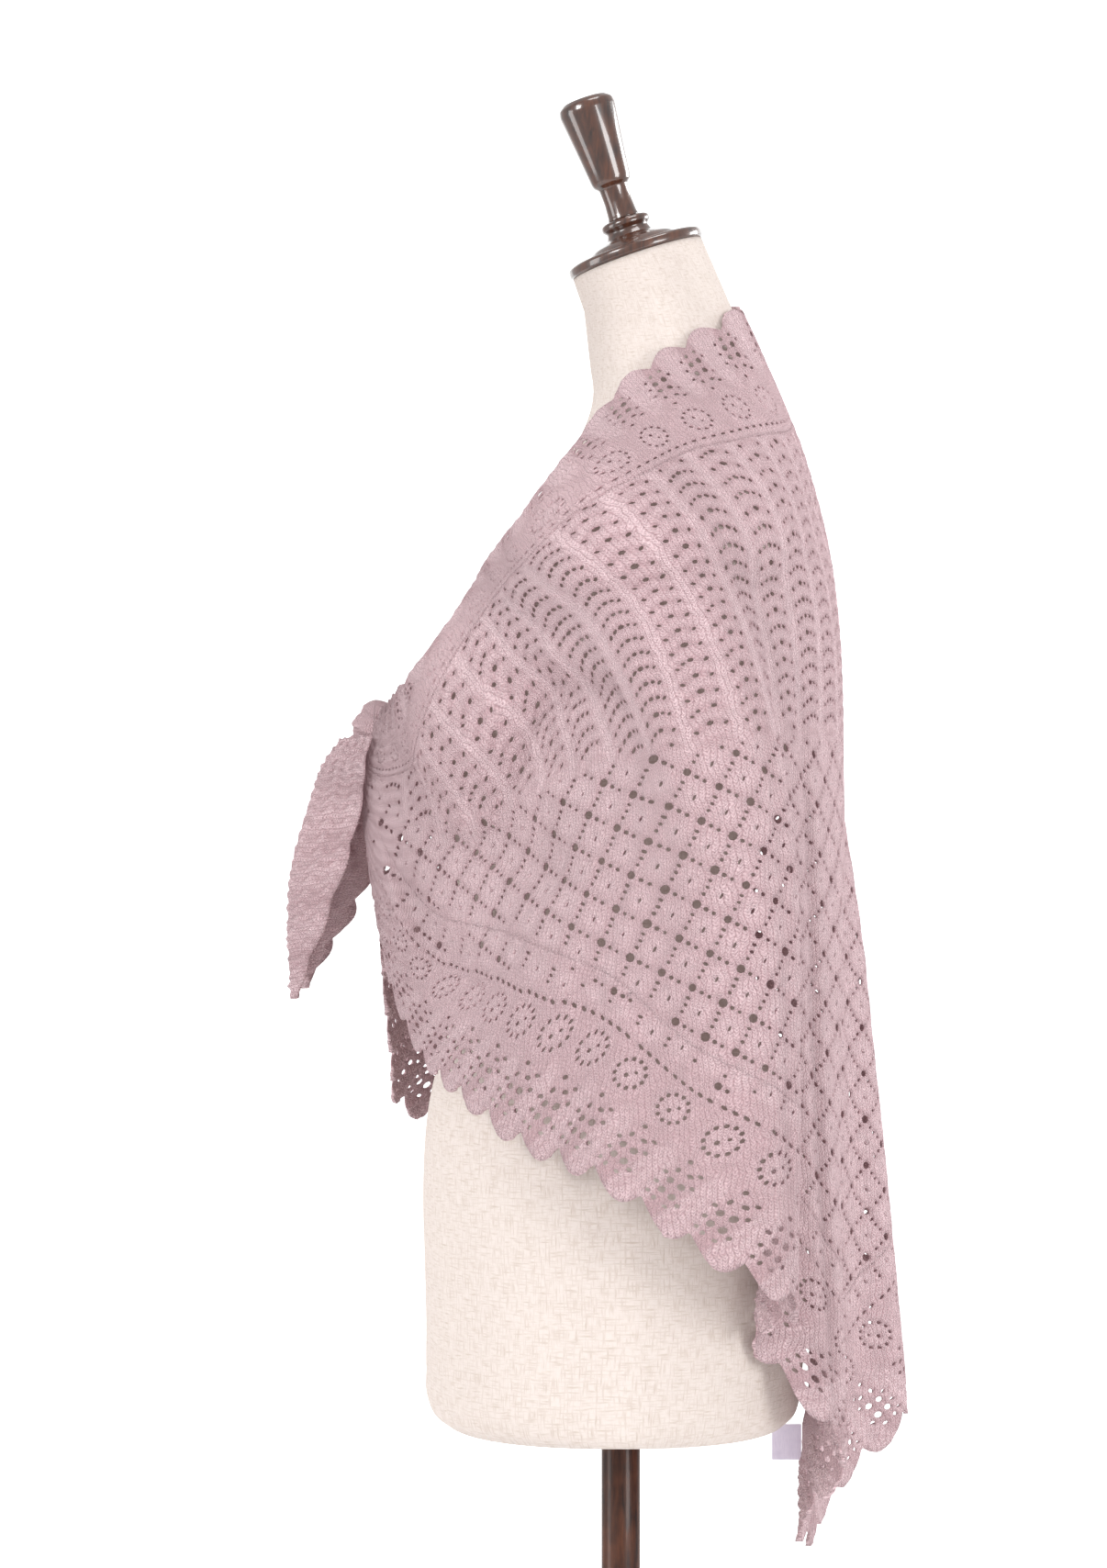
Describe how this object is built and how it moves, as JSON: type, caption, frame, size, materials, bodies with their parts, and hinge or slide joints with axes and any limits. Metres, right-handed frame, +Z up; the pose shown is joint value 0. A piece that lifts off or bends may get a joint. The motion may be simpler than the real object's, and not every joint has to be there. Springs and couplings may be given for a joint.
{
  "type": "lace shawl on dress form",
  "caption": "Triangular knitted lace shawl with a scalloped border, knotted at the front over a limbless linen dress form on a wooden pole stand.",
  "frame": {"origin": "on the floor, at the centre of the stand's base", "axes": "+Z up, the form faces -Y and its left side is +X"},
  "size_m": [0.4396, 0.4134, 1.6048],
  "materials": {
    "pink_lace": "matt knitted wool lace",
    "cream_linen": "plain woven linen",
    "walnut": "dark stained, glossy lacquer",
    "label_satin": "satin woven tape, blank"
  },
  "bodies": {
    "root": {"body_left": "pink_lace", "body_right": "pink_lace", "neck_edging_left": "pink_lace", "neck_edging_right": "pink_lace", "hem_edging_left": "pink_lace", "hem_edging_right": "pink_lace", "knot": "pink_lace", "tail_left": "pink_lace", "tail_right": "pink_lace", "care_label": "label_satin", "torso": "cream_linen", "neck_cap": "walnut", "finial": "walnut", "pole": "walnut", "base": "walnut"}
  },
  "joints": []
}
